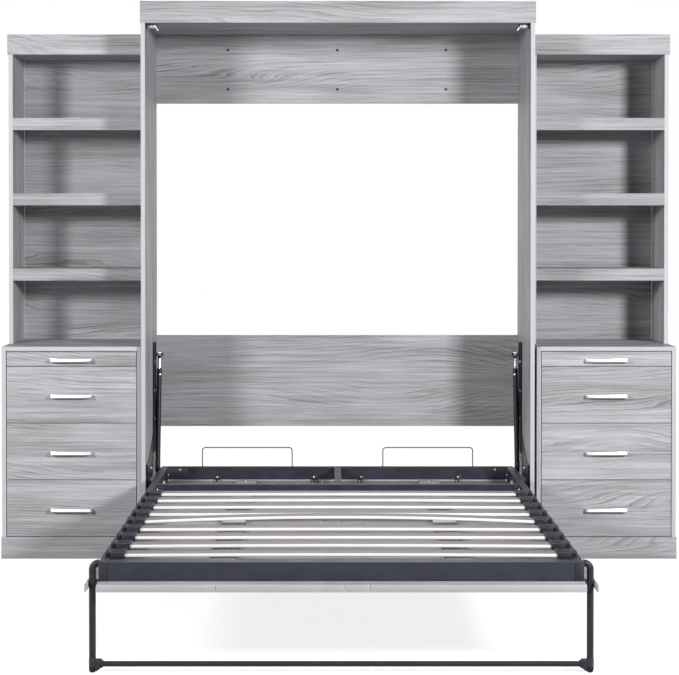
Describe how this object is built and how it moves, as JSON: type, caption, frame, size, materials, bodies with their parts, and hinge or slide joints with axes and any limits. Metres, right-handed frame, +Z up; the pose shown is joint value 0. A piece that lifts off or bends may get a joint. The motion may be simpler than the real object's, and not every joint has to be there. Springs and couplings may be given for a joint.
{
  "type": "murphy wall bed",
  "caption": "Fold-down wall bed in an open-backed cabinet, flanked by units with drawers, a pull-out tray and open shelves; slatted steel frame with a folding foot leg.",
  "frame": {"origin": "on the floor at the centre of the footprint of the open bed with its units", "axes": "+X along the width to the viewer's right when facing the bed's foot, +Y towards the wall, +Z up"},
  "size_m": [2.607, 2.178, 2.145],
  "materials": {
    "grey_wood": "satin wood-grain laminate",
    "navy_steel": "powder coat",
    "black_steel": "satin",
    "black_plastic": "matte",
    "birch_slat": "lacquered",
    "silver_metal": "brushed",
    "chrome_rod": "polished"
  },
  "bodies": {
    "cabinet": {"side_panel_left": "grey_wood", "side_panel_right": "grey_wood", "cabinet_crown": "grey_wood", "upper_back_panel": "grey_wood", "lower_back_panel": "grey_wood", "mechanism_plate_left": "black_steel", "mechanism_plate_right": "black_steel", "catch_left": "silver_metal", "catch_right": "silver_metal", "plinth_left": "grey_wood", "base_side_inner_left": "grey_wood", "base_side_outer_left": "grey_wood", "worktop_left": "grey_wood", "unit_back_left": "grey_wood", "hutch_side_inner_left": "grey_wood", "hutch_side_outer_left": "grey_wood", "hutch_crown_left": "grey_wood", "hutch_shelf_1_left": "grey_wood", "hutch_shelf_2_left": "grey_wood", "hutch_shelf_3_left": "grey_wood", "plinth_right": "grey_wood", "base_side_inner_right": "grey_wood", "base_side_outer_right": "grey_wood", "worktop_right": "grey_wood", "unit_back_right": "grey_wood", "hutch_side_inner_right": "grey_wood", "hutch_side_outer_right": "grey_wood", "hutch_crown_right": "grey_wood", "hutch_shelf_1_right": "grey_wood", "hutch_shelf_2_right": "grey_wood", "hutch_shelf_3_right": "grey_wood"},
    "bed": {"side_rail_left": "navy_steel", "side_rail_right": "navy_steel", "head_bar": "navy_steel", "foot_bar": "navy_steel", "centre_support": "navy_steel", "slat_bank": "birch_slat", "front_panel": "grey_wood"},
    "leg": {"leg_frame": "black_steel"},
    "strut_rod_left": {"strut_rod_left": "chrome_rod"},
    "strut_tube_left": {"strut_tube_left": "black_steel"},
    "strut_rod_right": {"strut_rod_right": "chrome_rod"},
    "strut_tube_right": {"strut_tube_right": "black_steel"},
    "tray_left": {"tray_left": "grey_wood", "tray_left_handle": "silver_metal"},
    "drawer_1_left": {"drawer_1_left": "grey_wood", "drawer_1_left_handle": "silver_metal"},
    "drawer_2_left": {"drawer_2_left": "grey_wood", "drawer_2_left_handle": "silver_metal"},
    "drawer_3_left": {"drawer_3_left": "grey_wood", "drawer_3_left_handle": "silver_metal"},
    "tray_right": {"tray_right": "grey_wood", "tray_right_handle": "silver_metal"},
    "drawer_1_right": {"drawer_1_right": "grey_wood", "drawer_1_right_handle": "silver_metal"},
    "drawer_2_right": {"drawer_2_right": "grey_wood", "drawer_2_right_handle": "silver_metal"},
    "drawer_3_right": {"drawer_3_right": "grey_wood", "drawer_3_right_handle": "silver_metal"}
  },
  "joints": [
    {"name": "bed_fold", "type": "hinge", "parent": "cabinet", "child": "bed", "pos_m": [-0.004, 0.672, 0.288], "axis": [-1, 0, 0], "range_deg": [0, 90]},
    {"name": "leg_fold", "type": "hinge", "parent": "bed", "child": "leg", "pos_m": [-0.004, -1.028, 0.318], "axis": [-1, 0, 0], "range_deg": [0, 180]},
    {"name": "strut_swing_left", "type": "hinge", "parent": "cabinet", "child": "strut_rod_left", "pos_m": [-0.7251, 1.004, 0.76], "axis": [-1, 0, 0], "range_deg": [0, 15]},
    {"name": "strut_extend_left", "type": "slide", "parent": "strut_rod_left", "child": "strut_tube_left", "axis": [0, -0.1858, -0.9826], "range_m": [0, 0.306]},
    {"name": "strut_swing_right", "type": "hinge", "parent": "cabinet", "child": "strut_rod_right", "pos_m": [0.7171, 1.004, 0.76], "axis": [-1, 0, 0], "range_deg": [0, 15]},
    {"name": "strut_extend_right", "type": "slide", "parent": "strut_rod_right", "child": "strut_tube_right", "axis": [0, -0.1858, -0.9826], "range_m": [0, 0.306]},
    {"name": "tray_left_slide", "type": "slide", "parent": "cabinet", "child": "tray_left", "axis": [0, -1, 0], "range_m": [0, 0.28]},
    {"name": "drawer_1_left_slide", "type": "slide", "parent": "cabinet", "child": "drawer_1_left", "axis": [0, -1, 0], "range_m": [0, 0.3]},
    {"name": "drawer_2_left_slide", "type": "slide", "parent": "cabinet", "child": "drawer_2_left", "axis": [0, -1, 0], "range_m": [0, 0.3]},
    {"name": "drawer_3_left_slide", "type": "slide", "parent": "cabinet", "child": "drawer_3_left", "axis": [0, -1, 0], "range_m": [0, 0.3]},
    {"name": "tray_right_slide", "type": "slide", "parent": "cabinet", "child": "tray_right", "axis": [0, -1, 0], "range_m": [0, 0.28]},
    {"name": "drawer_1_right_slide", "type": "slide", "parent": "cabinet", "child": "drawer_1_right", "axis": [0, -1, 0], "range_m": [0, 0.3]},
    {"name": "drawer_2_right_slide", "type": "slide", "parent": "cabinet", "child": "drawer_2_right", "axis": [0, -1, 0], "range_m": [0, 0.3]},
    {"name": "drawer_3_right_slide", "type": "slide", "parent": "cabinet", "child": "drawer_3_right", "axis": [0, -1, 0], "range_m": [0, 0.3]}
  ],
  "couplings": [
    {"joint": "strut_swing_left", "follows": "bed_fold", "ratio": 0.16105},
    {"joint": "strut_extend_left", "follows": "bed_fold", "m_per_rad": 0.19396},
    {"joint": "strut_swing_right", "follows": "bed_fold", "ratio": 0.16105},
    {"joint": "strut_extend_right", "follows": "bed_fold", "m_per_rad": 0.19396}
  ]
}
